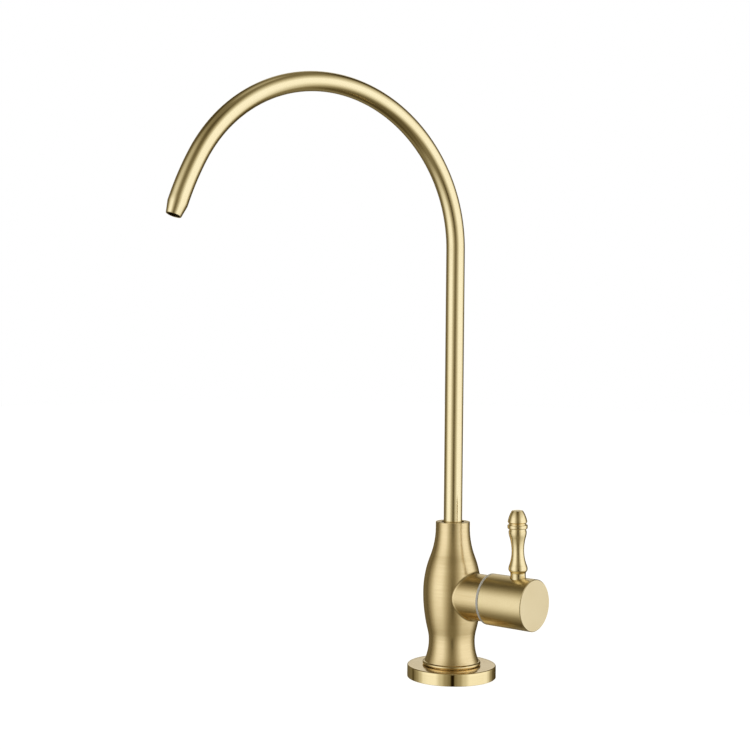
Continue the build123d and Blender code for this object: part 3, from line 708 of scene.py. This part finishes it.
# The handle's hub: a solid brass drum, bored for the spindle and hollow round the headwork, with a seat
# for the lever on top and a hole for its grub screw below. It is bead blasted and gold plated.
hub_inner_x = 26.15
hub_face_x = 52.05
hub_radius = 13.15
hub_chamfer = 0.35
hub_inner_edge = 0.2
hub_cavity_radius = 10.9
hub_cavity_x = 35.65
spindle_bore = 4.05
spindle_bore_x = 46.95
lever_x = 42.1
lever_lean = radians(2.1)
lever_seat_radius = 4.2
lever_seat_depth = 0.8
screw_hole_radius = 2.05

# The face is smoother than the drum, and its lighter, paler gold is painted sheen.
blasted_gold = satin_gold(
    "blasted_gold", (0.90, 0.76, 0.45), (0.76, 0.60, 0.31), 0.29, "object",
    line_scale=(1500, 1500, 1500), line_depth=0.0003, grain_scale=2400, grain_depth=0.006,
    beyond=(0, 51.8, 0.12, (0.92, 0.80, 0.53)),
)
hub_outline = [(0, spindle_bore_x), (spindle_bore, spindle_bore_x), (spindle_bore, hub_cavity_x)]
hub_outline += [(hub_cavity_radius, hub_cavity_x), (hub_cavity_radius, hub_inner_x)]
hub_outline += [(hub_radius - hub_inner_edge, hub_inner_x), (hub_radius, hub_inner_x + hub_inner_edge)]
drum_start, drum_end = (hub_radius, hub_inner_x + hub_inner_edge), (hub_radius, hub_face_x - hub_chamfer)
face_edge = (hub_radius - hub_chamfer, hub_face_x)
hub_outline += straight_run(drum_start, drum_end, steps=40) + [face_edge]
hub_outline += straight_run(face_edge, (0, hub_face_x), steps=10)
on_lever = Matrix.Translation((lever_x * mm, 0, handle_height * mm)) @ Matrix.Rotation(lever_lean, 4, "X")
seat_floor = hub_radius - lever_seat_depth
hub = crisp(turned("handle_drum", hub_outline, blasted_gold), along_handle)
for radius, low, high in (
    (lever_seat_radius, seat_floor, hub_radius + overrun),
    (screw_hole_radius, -hub_radius - overrun, 0),
):
    drill_outline = [(0, low), (radius, low), (radius, high), (0, high)]
    bored(hub, crisp(turned("drill", drill_outline, blasted_gold, sides=64), on_lever))
crisp(hub)
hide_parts("handle_hub")
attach(hub, "handle")

# The lever: a little turned brass baluster with a dished top, a bead between two grooves and a swelling
# above its foot. It is screwed down into the hub's seat on a hidden stud, and gold plated.
lever_neck_radius = 3.9
lever_neck_length = 2.85
bulge_foot = 2.3
bulge_foot_share = 0.5
bulge_radius = 4.85
lower_taper = 9.3
lower_taper_share = 0.2
lever_waist_radius = 3.15
upper_taper = 10.0
upper_taper_share = 0.3
shoulder_radius = 4.6
groove_width = 1.2
groove_radius = 4.35
bead_radius = 5.1
bead_width = 2.1
bead_edge = 0.5
lever_head_edge = 0.5
lever_head_radius = 4.9
lever_head_length = 5.3
lever_head_crown = 0.28
lever_top_radius = 2.8
lever_dish_depth = 0.3

lever_gold = satin_gold(
    "lever_gold", (0.92, 0.79, 0.48), (0.84, 0.67, 0.36), 0.16, "straight",
    line_scale=(150, 150, 5000), line_depth=0.0012, grain_scale=3500, grain_depth=0.0004,
)
neck = seat_floor + lever_neck_length
bulge = neck + bulge_foot
lever_waist = bulge + lower_taper
shoulder = lever_waist + upper_taper
bead_foot = shoulder + groove_width
bead_top = bead_foot + bead_width
head_edge = bead_top + groove_width
head_foot = head_edge + lever_head_edge
lever_top = head_foot + lever_head_length
slim, swollen = (lever_waist_radius, lever_waist), (bulge_radius, bulge)
neck_top = (lever_neck_radius, neck)
lever_outline = [(0, seat_floor), (lever_neck_radius, seat_floor), neck_top]
lever_outline += curve_between(swollen, neck_top, bulge_foot_share, steps=6)[-2::-1] + [swollen]
lever_outline += curve_between(swollen, slim, lower_taper_share, steps=16)
lever_outline += curve_between((shoulder_radius, shoulder), slim, upper_taper_share, steps=16)[-2::-1]
lever_outline += [(shoulder_radius, shoulder), (groove_radius, shoulder), (groove_radius, bead_foot)]
bead_out, bead_low, bead_high = bead_radius - bead_edge, bead_foot + bead_edge, bead_top - bead_edge
lever_outline += [(bead_out + bead_edge * sin(turn), bead_low - bead_edge * cos(turn)) for turn in quarter]
lever_outline += [(bead_out + bead_edge * cos(turn), bead_high + bead_edge * sin(turn)) for turn in quarter]
lever_outline += [(groove_radius, bead_top), (groove_radius, head_edge - groove_width / 2)]
lever_outline += [(lever_head_radius, head_edge), (lever_head_radius, head_foot)]
head_run, head_rise = lever_top_radius - lever_head_radius, lever_head_length
head_side = hypot(head_run, head_rise)
head_steps = 14
dish_steps = 8
for step in range(1, head_steps + 1):
    share = step / head_steps
    stand_off = lever_head_crown * 4 * share * (1 - share) / head_side
    lever_outline.append((
        lever_head_radius + head_run * share + head_rise * stand_off,
        head_foot + head_rise * share - head_run * stand_off,
    ))
for step in range(1, dish_steps + 1):
    share = 1 - step / dish_steps
    lever_outline.append((lever_top_radius * share, lever_top - lever_dish_depth * (1 - share * share)))
lever = crisp(turned("lever_baluster", lever_outline, lever_gold, sides=96), on_lever, angle=radians(28))
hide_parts("lever")
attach(lever, "handle")

# The shank: a hollow brass stud with a fine thread from end to end. Its top screws into the body, it
# passes through the worktop, and the water hose is clamped in its lower end.
shank_radius = 5.56
shank_bore = 2.2
shank_foot = -48.0
inch = 25.4
threads_per_inch = 24
thread_pitch = inch / threads_per_inch
thread_depth = 0.55
hose_hole_radius = 3.25
hose_hole_depth = 12.0
cone_mouth_radius = 4.44
cone_inner_radius = 3.67
cone_depth = 2.05
shank_chamfer = 0.6
rows_per_turn = 7


def turned_metal(name, colour, deep, roughness, line_scale, line_depth):
    """Bare or plated metal straight from the lathe, with tool marks and slow changes of shade."""
    return satin_gold(
        name, colour, deep, roughness, "object", line_scale, line_depth, grain_scale=2500, grain_depth=0.001,
    )


bare_brass = turned_metal("bare_brass", (0.80, 0.61, 0.31), (0.62, 0.42, 0.18), 0.27, (200, 200, 3500), 0.002)
hose_floor, cone_floor = shank_foot + hose_hole_depth, shank_foot + cone_depth
shank_outline = [(shank_bore, shank_top), (shank_bore, hose_floor), (hose_hole_radius, hose_floor)]
shank_outline += [(hose_hole_radius, cone_floor), (cone_inner_radius, cone_floor)]
shank_outline += [(cone_mouth_radius, shank_foot)]
cut_marks = [0] * len(shank_outline)
rows = round((shank_top - shank_foot) / thread_pitch * rows_per_turn)
for row in range(rows + 1):
    up = shank_foot + (shank_top - shank_foot) * row / rows
    full = min(1, (up - shank_foot) / shank_chamfer, (shank_top - up) / shank_chamfer)
    shank_outline.append((shank_radius - shank_chamfer * (1 - full), up))
    cut_marks.append(full)
shank_outline.append(shank_outline[0])
cut_marks.append(0)
shank = turned(
    "threaded_stud", shank_outline, bare_brass, sides=56, threaded=cut_marks, pitch=thread_pitch,
    depth=thread_depth,
)
crisp(shank, angle=radians(50))
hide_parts("threaded_shank")
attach(shank, "fixed_body")

# What is under the worktop and what is hidden inside stays as it was measured. The stem, the cartridge's
# housing and spindle and the hose's nut are turned brass, without plating.


def refinish(finish, *names):
    """Gives measured pieces their finish, and leaves their shape as it is."""
    for name in names:
        nodes[name].data.materials.clear()
        nodes[name].data.materials.append(finish)


refinish(bare_brass, "spout_stem", "cartridge_housing", "spindle", "inlet_nut")

# The fixing nut and its toothed washer are steel, zinc plated. The lever's stud and the hub's grub screw
# are oiled black steel, and the snap ring and the circlip are spring steel.
tool_marks = (300, 300, 1500)
zinc_plate = turned_metal("zinc_plate", (0.66, 0.68, 0.70), (0.50, 0.53, 0.56), 0.33, tool_marks, 0.002)
black_steel = turned_metal("black_steel", (0.08, 0.08, 0.085), (0.04, 0.04, 0.045), 0.42, tool_marks, 0.001)
spring_steel = turned_metal("spring_steel", (0.52, 0.52, 0.53), (0.36, 0.36, 0.38), 0.24, tool_marks, 0.001)
refinish(zinc_plate, "fixing_nut", "lock_washer")
refinish(black_steel, "lever_stud", "handle_grub_screw")
refinish(spring_steel, "spout_snap_ring", "spindle_circlip")

# The seals are black rubber rings, moulded or cut from sheet. The wide washer under the worktop is black
# nylon, and the slide washers and the hose's sleeve are white nylon, which runs quietly on brass.
black_rubber = moulded("black_rubber", (0.020, 0.020, 0.021), 0.62, 0.35, 0.006)
black_nylon = moulded("black_nylon", (0.028, 0.028, 0.030), 0.42, 0.25, 0.004)
white_nylon = moulded("white_nylon", (0.78, 0.77, 0.73), 0.38, 0.08, 0.002)
refinish(black_rubber, "base_gasket", "foot_o_ring", "spout_o_rings", "housing_o_ring", "seat_seal")
refinish(black_rubber, "spindle_o_rings")
refinish(black_nylon, "worktop_washer")
refinish(white_nylon, "spout_washer", "friction_washer", "inlet_ferrule")

# The cartridge's two discs are fired alumina, lapped flat, so that the faces seal on each other as the
# moving one turns.
alumina = moulded("alumina", (0.86, 0.85, 0.82), 0.16, 0.05, 0.0005)
refinish(alumina, "ceramic_disc_fixed", "ceramic_disc_moving")
